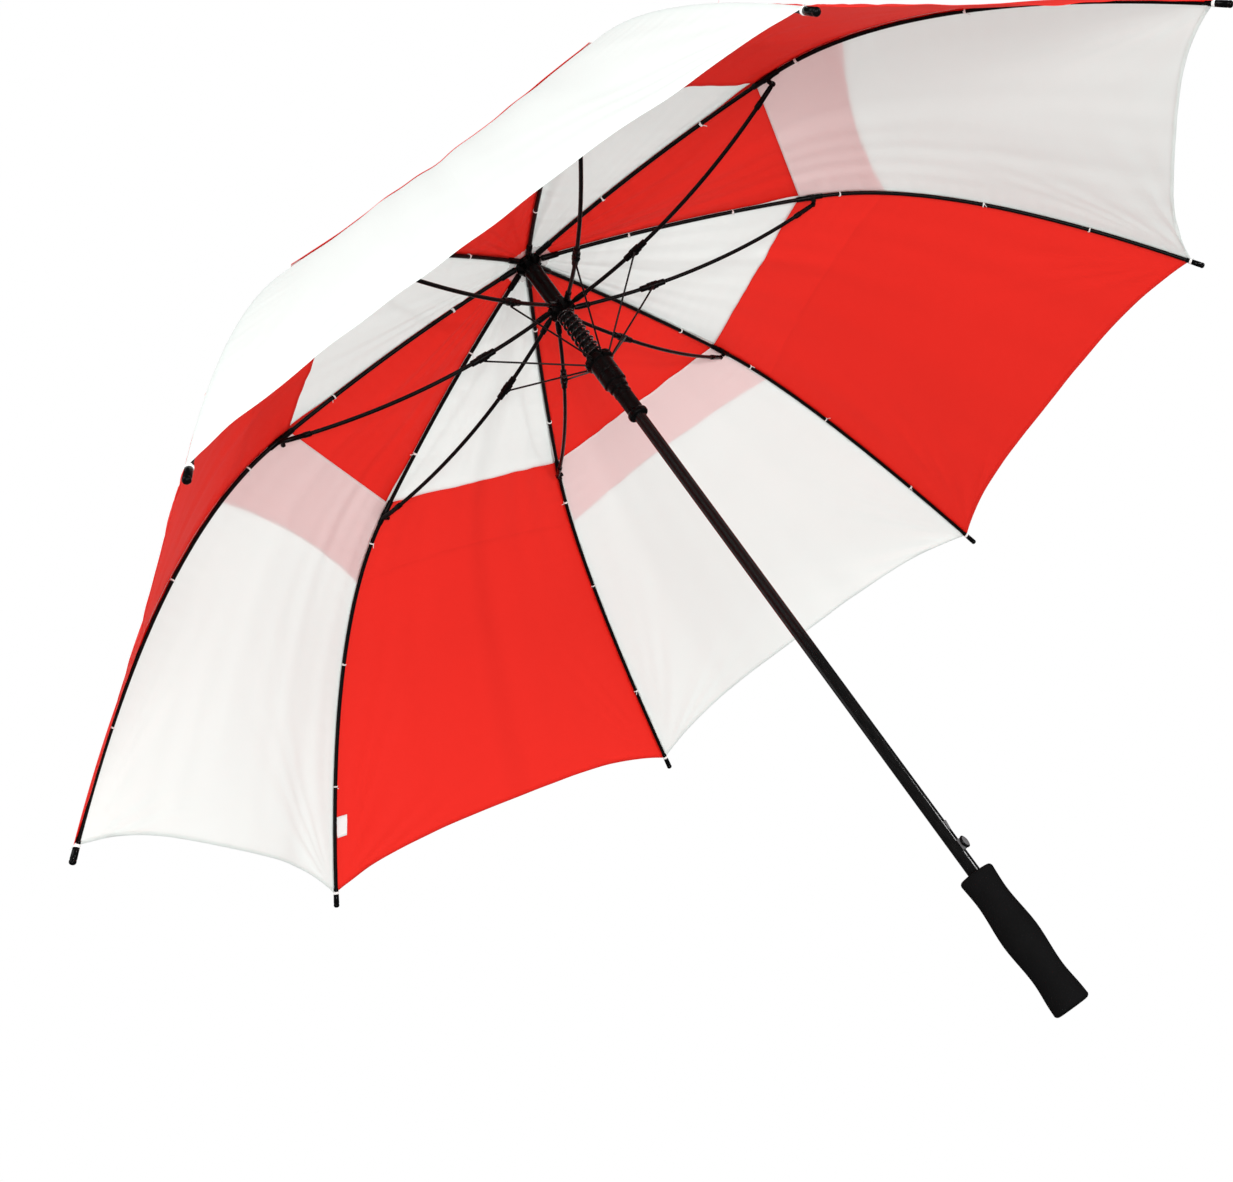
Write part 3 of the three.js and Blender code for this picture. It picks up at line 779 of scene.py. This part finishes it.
PIN_R, PIN_Z = 349 * MM, 934.5 * MM
for k, azimuth in enumerate(AZIMUTHS):
    n = k + 1
    inner_s = np.linspace(0.5 * MM, JOINT_S - 2.6 * MM, 40)
    rod = several(f"rib_{n}_inner_rod", [
        rib_tube(inner_s, ROD_R, azimuth),
        rivet(NOTCH_R, NOTCH_Z, 0, 2.25 * MM, 1.7 * MM, azimuth),
    ], rod_black)
    settle(rod, f"rib_inner_{n}", "fibreglass", f"rib_inner_{n}")
    root_s, root_r = stepped([
        (6 * MM, 2.5 * MM), (7 * MM, 3.6 * MM), (26 * MM, 3.5 * MM), (28 * MM, 2.4 * MM),
    ])
    root = several(f"rib_{n}_root_ferrule", [rib_tube(root_s, root_r, azimuth)], satin_black)
    settle(root, f"rib_inner_{n}", "black_plastic")
    clasp_s, clasp_r = stepped([
        (JOINT_S - 26 * MM, 2.5 * MM), (JOINT_S - 25 * MM, 3.1 * MM), (JOINT_S - 13 * MM, 3.2 * MM),
        (JOINT_S - 12.4 * MM, 3.6 * MM), (JOINT_S - 3 * MM, 3.6 * MM), (JOINT_S - 2.4 * MM, 3.1 * MM),
        (JOINT_S + 7 * MM, 3.0 * MM), (JOINT_S + 8 * MM, 2.5 * MM),
    ])
    lug_top, _ = rib_at(np.array(JOINT_S - 8 * MM))
    lug = np.array([[lug_top[0], 0, lug_top[1]], [PIN_R, 0, PIN_Z], [PIN_R, 0, PIN_Z - 1.2 * MM]])
    clasp = several(f"rib_{n}_clasp", [
        rib_tube(clasp_s, clasp_r, azimuth, 20),
        tube(turned_to(lug, azimuth), np.array([2.4, 2.1, 1.6]) * MM, sideways(azimuth), 14),
        rivet(PIN_R, PIN_Z, 0, 2.6 * MM, 2.0 * MM, azimuth),
    ], satin_black)
    settle(clasp, f"rib_inner_{n}", "black_plastic")
    outer_s = np.linspace(JOINT_S + 1.0 * MM, TIP_S - 22 * MM, 70)
    outer_rod = several(f"rib_{n}_outer_rod", [rib_tube(outer_s, ROD_R, azimuth)], rod_black)
    settle(outer_rod, f"rib_outer_{n}", "fibreglass", f"rib_outer_{n}")
    cap_s, cap_r = stepped([
        (TIP_S - 24 * MM, 2.3 * MM), (TIP_S - 23.6 * MM, 2.8 * MM), (TIP_S - 20 * MM, 2.8 * MM),
        (TIP_S - 19.2 * MM, 2.5 * MM), (TIP_S - 17.4 * MM, 2.5 * MM), (TIP_S - 16.6 * MM, 3.2 * MM),
        (TIP_S - 5.4 * MM, 3.4 * MM), (TIP_S - 5 * MM, 3.15 * MM), (TIP_S - 4.2 * MM, 3.15 * MM),
        (TIP_S - 3.8 * MM, 3.5 * MM), (TIP_S - 2 * MM, 3.4 * MM), (TIP_S - 0.9 * MM, 2.8 * MM),
        (TIP_S - 0.2 * MM, 1.8 * MM), (TIP_S, 0.8 * MM),
    ])
    cap = several(f"rib_{n}_tip_cap", [rib_tube(cap_s, cap_r, azimuth, 24)], gloss_black, 60)
    settle(cap, f"rib_outer_{n}", "gloss_black", f"rib_tip_{n}")

# %% [markdown]
# ## Stretchers and pull wires
# A stretcher hangs from the hub in a shallow bow and ends in a ferrule at the rib's clasp.
# A clip a quarter of the way along holds a small eye, and a straight wire runs from the eye
# to the ring of the lower runner.

# %% Stretchers
HUB_R, HUB_SIDE = 13 * MM, 5.5 * MM
WIRE_SIDE = 1.9 * MM
RING_R = 15.5 * MM
BOW = 18 * MM
PULL_WIRE_R = 1.1 * MM
STRETCHER_R = 2.3 * MM
CLIP_AT, EYE_DROP = 99 * MM, 18 * MM
CHORD = math.hypot(PIN_R - HUB_R, PIN_Z - HUB_Z)
CHORD_DIRECTION = np.array([PIN_R - HUB_R, PIN_Z - HUB_Z]) / CHORD


def bow_at(t):
    """The stretcher's line: a parabola that hangs BOW below the chord at its middle."""
    out = HUB_R + (PIN_R - HUB_R) * t
    up = HUB_Z + (PIN_Z - HUB_Z) * t - 4 * BOW * t * (1 - t)
    return np.stack([out, np.full_like(out, HUB_SIDE), up], -1)


def bow_tube(t, radius, azimuth, sides=16):
    return tube(turned_to(bow_at(np.asarray(t)), azimuth), radius, sideways(azimuth), sides)


eye_out, eye_up = (np.array([HUB_R, HUB_Z]) + CHORD_DIRECTION * CLIP_AT
                   + np.array([CHORD_DIRECTION[1], -CHORD_DIRECTION[0]]) * EYE_DROP)


def share(length):
    return length / CHORD


for k, azimuth in enumerate(AZIMUTHS):
    n = k + 1
    bow = bow_tube(np.linspace(0.004, 0.995, 60), STRETCHER_R, azimuth)
    stretcher_rod = several(f"stretcher_{n}_rod", [bow], rod_black)
    settle(stretcher_rod, f"stretcher_{n}", "fibreglass", f"stretcher_{n}")
    foot_t, foot_r = stepped([
        (0.0, 2.2 * MM), (share(4 * MM), 2.5 * MM), (share(7 * MM), 3.4 * MM),
        (share(21 * MM), 3.5 * MM), (share(22 * MM), 2.5 * MM),
    ])
    foot = several(f"stretcher_{n}_foot", [
        bow_tube(foot_t, foot_r, azimuth),
        rivet(HUB_R, HUB_Z, HUB_SIDE, 2.0 * MM, 1.4 * MM, azimuth),
    ], satin_black)
    settle(foot, f"stretcher_{n}", "black_plastic")
    end_t, end_r = stepped([
        (1 - share(31 * MM), 2.5 * MM), (1 - share(30 * MM), 3.2 * MM), (1 - share(23 * MM), 3.3 * MM),
        (1 - share(22.4 * MM), 2.9 * MM), (1 - share(6 * MM), 2.7 * MM), (1.0, 2.2 * MM),
    ])
    end = several(f"stretcher_{n}_ferrule", [
        bow_tube(end_t, end_r, azimuth),
        rivet(PIN_R, PIN_Z, HUB_SIDE, 2.9 * MM, 1.5 * MM, azimuth),
    ], satin_black)
    settle(end, f"stretcher_{n}", "black_plastic")
    middle = share(CLIP_AT)
    clip_t, clip_r = stepped([
        (middle - share(16 * MM), 2.5 * MM), (middle - share(15 * MM), 3.6 * MM),
        (middle - share(6.6 * MM), 3.7 * MM), (middle - share(6 * MM), 4.5 * MM),
        (middle + share(6 * MM), 4.5 * MM), (middle + share(6.6 * MM), 3.7 * MM),
        (middle + share(15 * MM), 3.6 * MM), (middle + share(16 * MM), 2.5 * MM),
    ])
    drop = np.stack([np.full(3, eye_out), np.full(3, HUB_SIDE), eye_up + np.array([6, 1, -1.8]) * MM], 1)
    clip = several(f"stretcher_{n}_clip", [
        bow_tube(clip_t, clip_r, azimuth, 18),
        tube(turned_to(drop, azimuth), np.array([4.0, 3.2, 2.5]) * MM, sideways(azimuth), 12),
        rivet(eye_out, eye_up, HUB_SIDE - 1.2 * MM, 1.5 * MM, 1.6 * MM, azimuth),
    ], satin_black)
    settle(clip, f"stretcher_{n}", "black_plastic")
    line = np.linspace((RING_R, WIRE_SIDE, RING_Z), (eye_out, WIRE_SIDE, eye_up), 12)
    strand = tube(turned_to(line, azimuth), PULL_WIRE_R, sideways(azimuth), 10)
    wire = several(f"pull_wire_{n}_strand", [strand], wire_black)
    settle(wire, f"pull_wire_{n}", "wire_steel", f"pull_wire_{n}")

# %% [markdown]
# ## The canopy's shape
# Cloth is pulled tight between two ribs, so at one length along them it is close to the
# straight line from rib to rib, and hangs a little below it. At the open hem nothing holds
# it down between the tips, and it draws up into an arch. Each gore is cut in two down its
# middle here, and each half rides with its own rib. The halves share one formula, so they
# meet without a step.

# %% The canopy's shape
HALF_ANGLE = math.pi / RIBS
CLOTH_LIFT = 3.2 * MM
rng = np.random.default_rng(11)
RIPPLES = 7
ripple_phase = rng.uniform(0, 2 * math.pi, (RIBS, RIPPLES))
ripple_slant = rng.uniform(-1.0, 1.0, (RIBS, RIPPLES))


def creases(s, across, panel):
    """Small folds of one panel, positive outwards. Slow ones run from hem to vent. Short ones
    pucker the cloth along both seams and die out away from them. The rest fan out from the
    two tips, where the cloth is pulled hardest. across is -1 at one rib and 1 at the next."""
    total = np.zeros_like(s)
    for i in range(RIPPLES):
        waves = 2.0 + 1.3 * i
        slow = np.sin(math.pi * waves * across + ripple_slant[panel, i] * s * 9 + ripple_phase[panel, i])
        total += slow * 0.6 * MM / (1 + 0.5 * i)
    seam = (1 - np.abs(across)) * 0.38 * s
    pucker = (np.sin(s * 2 * math.pi / 0.031 + ripple_phase[panel, 0])
              + np.sin(s * 2 * math.pi / 0.0197 + ripple_phase[panel, 1]))
    total += 0.6 * MM * pucker * np.exp(-seam / 0.022)
    to_tip = np.maximum(TIP_S - 15 * MM - s, 0.5 * MM)
    for i, end in enumerate((-1, 1)):
        sidestep = np.abs(end - across) * 0.29
        angle = np.arctan2(sidestep, to_tip)
        distance = np.hypot(sidestep, to_tip)
        fan = np.sin(angle * 26 + 2.2 * np.sin(angle * 7 + ripple_phase[panel, 2 + i]))
        total += 1.5 * MM * fan * np.exp(-distance / 0.13) * np.clip(distance / 0.05, 0, 1)
    held = 1 - across**2
    return total * np.clip(held * 3, 0, 1) * np.clip(s / 0.1, 0, 1)


def gore_point(s, w, side, k, lift, fall):
    """A point beside rib k, at length s. w is 0 at the rib and 1 down the middle of the gore,
    and side is 1 or -1. The line from rib to rib lies lift above the ribs' centres, and the
    point is fall below that line, across the cloth."""
    place, along = rib_at(s)
    up = np.stack([-along[..., 1], along[..., 0]], -1)
    r, z = np.moveaxis(place + up * lift[..., None], -1, 0)
    out = r * math.cos(HALF_ANGLE) - fall * up[..., 0]
    lateral = (1 - w) * r * math.sin(HALF_ANGLE)
    local = np.stack([out, -side * lateral, z - fall * up[..., 1]], -1)
    return turned_to(local, AZIMUTHS[k] + side * HALF_ANGLE)


def cloth_at(s, w, side, k, lift, droop):
    """Points of the cloth: its middle hangs droop(s) below the line from rib to rib, and its
    creases stand out from that."""
    panel = (k - (side > 0)) % RIBS
    fall = droop(s) * (1 - (1 - w) ** 2) - creases(s, side * (1 - w), panel)
    return gore_point(s, w, side, k, lift, fall)


def beside_rib(s, lateral, drop, side, k, lift):
    """A point of trim: lateral is its distance from the rib along the cloth, and drop how far
    it hangs under the cloth."""
    place, _ = rib_at(s)
    return gore_point(s, lateral / (place[..., 0] * math.sin(HALF_ANGLE)), side, k, lift, drop)


def scallop(depth, w, flatness=2.0):
    """How far a hem is drawn in at w: depth times one less a power of the way to the rib."""
    return depth * (1 - (1 - w) ** flatness)


LOWER_START = JOINT_S - 21 * MM
LOWER_END = TIP_S - 17 * MM
UPPER_END = JOINT_S + 88 * MM
HEM_SCALLOP, HEM_FLATNESS = 29 * MM, 3.6
UPPER_SCALLOP = 12 * MM
FOLD = 4.5 * MM
FOLD_GAP = 0.5 * MM
LAYER_LIFT = 2.8 * MM
LAYER_GAP = 1.6 * MM


def blend_in(s, start, end):
    """0 before start, 1 after end, and smooth between them."""
    t = np.clip((s - start) / (end - start), 0, 1)
    return t * t * (3 - 2 * t)


def lower_hem(w):
    return LOWER_END - scallop(HEM_SCALLOP, w, HEM_FLATNESS)


def upper_hem(w):
    return UPPER_END - scallop(UPPER_SCALLOP, w)


def lower_droop(s):
    t = np.clip((s - LOWER_START) / (LOWER_END - LOWER_START), 0, 1)
    return (0.6 + 6 * np.sin(math.pi * t**1.5)) * MM


def upper_droop(s):
    """The upper canopy sags on its own near the shaft. From there outwards it follows the
    lower canopy, and stays LAYER_GAP above it in the middle of the gore."""
    own = 7 * MM * np.sin(math.pi * np.clip(s / JOINT_S, 0, 1))
    shared = lower_droop(s) + LAYER_LIFT - LAYER_GAP
    share = blend_in(s, LOWER_START - 110 * MM, LOWER_START - 10 * MM)
    return own * (1 - share) + shared * share


def upper_lift(s):
    """The upper canopy lies on the ribs, then rises to pass over the lower one's edge."""
    return CLOTH_LIFT + LAYER_LIFT * blend_in(s, LOWER_START - 60 * MM, LOWER_START - 10 * MM)


def lower_lift(s):
    return np.full_like(s, CLOTH_LIFT)


def sheet_rows(start, end, count, fold_start, fold_end):
    """Row positions as (share between start and end, extra length, drop below the cloth): a
    folded edge runs back under the sheet for the width of its hem."""
    rows = [(t, 0.0, 0.0) for t in np.linspace(0, 1, count)]
    if fold_start:
        rows = [(0, FOLD * 0.8, FOLD_GAP), (0, 0.0, FOLD_GAP)] + rows
    if fold_end:
        rows = rows + [(1, 0.0, FOLD_GAP), (1, -FOLD, FOLD_GAP)]
    return np.array(rows)


def half_gore(name, k, side, start, end, count, material, lift, droop,
              folds=(False, False), columns=30, joined=False):
    """One half of a gore as a grid: rows run along the rib and columns from the rib to the
    middle of the gore. start and end give the cloth's edges at each w. Its UV map holds
    distances in metres, and a point attribute marks cloth with the other canopy over it,
    where that canopy's show-through light and shade are painted into the colour."""
    w = np.linspace(0, 1, columns)[None, :]
    rows = sheet_rows(start, end, count, *folds)
    t, extra, drop = (rows[:, i][:, None] for i in range(3))
    s = start(w) + (end(w) - start(w)) * t + extra
    points = cloth_at(s, w + 0 * s, side, k, lift(s) - drop, droop)
    faces = grid_faces(len(rows), columns)
    if side > 0:
        faces = [f[::-1] for f in faces]
    made = add_object(name, points, faces, material, 180, closed=False)
    lateral = np.linalg.norm(points - points[:, :1], axis=-1)
    uv = np.stack([lateral, s], -1).reshape(-1, 2)
    loops = np.empty(len(made.data.loops), np.int32)
    made.data.loops.foreach_get("vertex_index", loops)
    made.data.uv_layers.new(name="threads").data.foreach_set("uv", uv[loops].astype(np.float32).ravel())
    # Where the upper canopy's hem lies beyond, this weight paints that canopy's show-through light and shade
    # into the cloth's colour.
    behind = np.clip((upper_hem(w) - s) / (2 * MM), 0, 1) * joined
    marks = made.data.attributes.new("layer_behind", "FLOAT", "POINT").data
    marks.foreach_set("value", behind.astype(np.float32).ravel())
    return made, points


def cloth_area(points):
    """Area of a grid of points, from the cross products of its cells' diagonals."""
    a = points[1:, 1:] - points[:-1, :-1]
    b = points[1:, :-1] - points[:-1, 1:]
    return float(np.linalg.norm(np.cross(a, b), axis=-1).sum() / 2)


def gather(piece, k):
    """Gives the piece a mesh of its own."""
    a = AZIMUTHS[k]
    anchor = (JOINT_R * math.cos(a), JOINT_R * math.sin(a), JOINT_Z)
    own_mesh(piece)


# %% [markdown]
# ## Gores
# The gores are red and white by turns, and each upper gore is the opposite colour of the
# lower one below it. A gore's colour follows its number: odd panels of the lower canopy,
# counted from rib 1, are white.


# %% Edges and seam allowances
def flat_edge(s):
    """An edge that stays at length s right across the gore."""
    return lambda w: s + 0 * w


def seam_allowance(name, k, side, start, end, material, lift):
    """The strip of cloth beyond the stitches, which lies under the gore beside the rib. Its
    free edge wavers, because it was cut by hand."""
    s = np.arange(start, end, 4 * MM)[:, None]
    u = np.linspace(0, 1, 5)[None, :]
    phase = ripple_phase[k, 0] + side
    waver = 0.5 * np.sin(s * 2 * math.pi / 0.047 + phase) + 0.35 * np.sin(s * 2 * math.pi / 0.019 + 2 * phase)
    lateral = (1.0 + (3.6 + waver) * u) * MM
    drop = (0.35 + 1.5 * u + 0.5 * waver * u * u) * MM
    s = s + 0 * u
    points = beside_rib(s, lateral, drop, side, k, lift(s))
    faces = grid_faces(len(s), 5)
    if side > 0:
        faces = [f[::-1] for f in faces]
    return add_object(name, points, faces, material, 180, closed=False)


# %% Gores
total_cloth = 0.0
for k in range(RIBS):
    n = k + 1
    for side, word in ((1, "a"), (-1, "b")):
        panel = (k - (side > 0)) % RIBS
        white_below = panel % 2 == 0
        lower_cloth, lower_slot = (white_cloth, "white_cloth") if white_below else (red_cloth, "red_cloth")
        upper_cloth, upper_slot = (red_cloth, "red_cloth") if white_below else (white_cloth, "white_cloth")
        piece, points = half_gore(
            f"lower_gore_{n}{word}", k, side, flat_edge(LOWER_START), lower_hem, 150,
            lower_cloth, lower_lift, lower_droop, (True, True), columns=44, joined=True)
        settle(piece, f"rib_outer_{n}", lower_slot, "canopy_lower")
        allowance = seam_allowance(
            f"lower_seam_{n}{word}", k, side, LOWER_START + 4 * MM, LOWER_END - 8 * MM,
            lower_cloth, lower_lift)
        settle(allowance, f"rib_outer_{n}", lower_slot)
        gather(piece, k)
        total_cloth += cloth_area(points)
        piece, points = half_gore(
            f"upper_gore_{n}{word}", k, side, flat_edge(2 * MM), flat_edge(JOINT_S), 100,
            upper_cloth, upper_lift, upper_droop, columns=36)
        settle(piece, f"rib_inner_{n}", upper_slot, "canopy_upper")
        allowance = seam_allowance(
            f"upper_seam_{n}{word}", k, side, 22 * MM, LOWER_START + 6 * MM,
            upper_cloth, upper_lift)
        settle(allowance, f"rib_inner_{n}", upper_slot)
        gather(piece, k)
        total_cloth += cloth_area(points)
        piece, points = half_gore(
            f"upper_flap_{n}{word}", k, side, flat_edge(JOINT_S), upper_hem, 30,
            upper_cloth, upper_lift, upper_droop, (False, True), columns=36)
        settle(piece, f"rib_outer_{n}", upper_slot, "canopy_upper")
        gather(piece, k)
        total_cloth += cloth_area(points)
print("cloth", round(total_cloth, 2), "square metres")

# %% [markdown]
# ## Thread, label and crown patches
# White thread ties the seams to each rib at five places, and is wound round
# each tip cap's neck. A turn of thread is a helix round the rib, and its cut end is a
# short tail. One blank tab is sewn into the seam of the second rib. Under the crown, small
# sheer patches strengthen the points of the gores.


# %% Thread ties
THREAD_R = 0.4 * MM


def thread_round(s_middle, azimuth, turns, pitch, radius, tails=0.0, turn=0.0):
    """A helix of thread round the rib: out and round with radius, along with pitch."""
    a = np.linspace(0, 2 * math.pi * turns, int(20 * turns)) + turn
    s = s_middle + pitch * (a - a.mean()) / (2 * math.pi)
    r = np.full_like(a, radius)
    if tails:
        tail_a = np.full(6, a[-1]) + np.linspace(0.1, 0.5, 6)
        a = np.append(a, tail_a)
        s = np.append(s, s[-1] + np.linspace(0.1, 1, 6) * tails * 0.7)
        r = np.append(r, radius + np.linspace(0.1, 1, 6) ** 1.3 * tails)
    place, along = rib_at(s)
    up = np.stack([-along[:, 1], along[:, 0]], 1)
    out, z = (place + up * (r * np.sin(a))[:, None]).T
    path = np.stack([out, r * np.cos(a), z], 1)
    away = turned_to(path - np.stack([place[:, 0], 0 * s, place[:, 1]], 1), azimuth)
    return tube(turned_to(path, azimuth), THREAD_R, away, 6)


INNER_TIES = np.array([115, 255]) * MM
OUTER_TIES = np.array([40, 205, 350]) * MM + JOINT_S
for k, azimuth in enumerate(AZIMUTHS):
    n = k + 1
    for word, places in (("inner", INNER_TIES), ("outer", OUTER_TIES)):
        jitter = rng.uniform(-20, 20, len(places)) * MM
        lean = rng.uniform(0, 2 * math.pi, len(places))
        ties = [thread_round(s + j, azimuth, 2.3, 0.9 * MM, 2.7 * MM, 3.5 * MM, a)
                for s, j, a in zip(places, jitter, lean)]
        if word == "outer":
            ties.append(thread_round(TIP_S - 18.3 * MM, azimuth, 4.2, 0.75 * MM, 3.0 * MM, 2.5 * MM))
        tied = several(f"thread_ties_{word}_{n}", ties, white_thread)
        settle(tied, f"rib_{word}_{n}", "white_cloth")
print("ties on each rib:", len(INNER_TIES) + len(OUTER_TIES), "and one at each tip")

# %% Label
LABEL_RIB = 1
LABEL_SIDE = -1
LABEL_S = TIP_S - 97 * MM


def seam_label(name, k, side, middle, length, width):
    """A folded tab: it leaves the seam, curls down a little and ends in a straight fold."""
    u = np.linspace(0, 1, 14)[:, None]
    v = np.linspace(-0.5, 0.5, 8)[None, :]
    s = middle + v * length + 0 * u
    lateral = 1.5 * MM + width * u + 0 * v
    drop = (1.0 + 2.6 * u**1.5 + 0.5 * np.sin(3 * v + 2 * u)) * MM
    points = beside_rib(s, lateral, drop, side, k, lower_lift(s))
    return add_object(name, points, grid_faces(14, 8), blank_tab, 180, closed=False)


label = seam_label("blank_label", LABEL_RIB, LABEL_SIDE, LABEL_S, 26 * MM, 16 * MM)
thickness = label.modifiers.new("two_layers", "SOLIDIFY")
thickness.thickness = 0.4 * MM
settle(label, f"rib_outer_{LABEL_RIB + 1}", "white_cloth")

# %% Crown patches
for k in range(RIBS):
    for side, word in ((1, "a"), (-1, "b")):
        patch, points = half_gore(
            f"crown_patch_{k + 1}{word}", k, side, flat_edge(6 * MM),
            lambda w: 18 * MM + 2.0 * MM * np.abs(np.sin(2 * math.pi * w)), 10, sheer_patch,
            lambda s: np.full_like(s, CLOTH_LIFT - 0.5 * MM), upper_droop, columns=19)
        settle(patch, f"rib_inner_{k + 1}", "white_cloth")
        gather(patch, k)

# %% CAD pieces that stay
for node, finish in (("handle_core", satin_black), ("latch_leaf_spring", spring_black)):
    finishes = frame["nodes"][node].data.materials
    finishes.clear()
    finishes.append(finish)
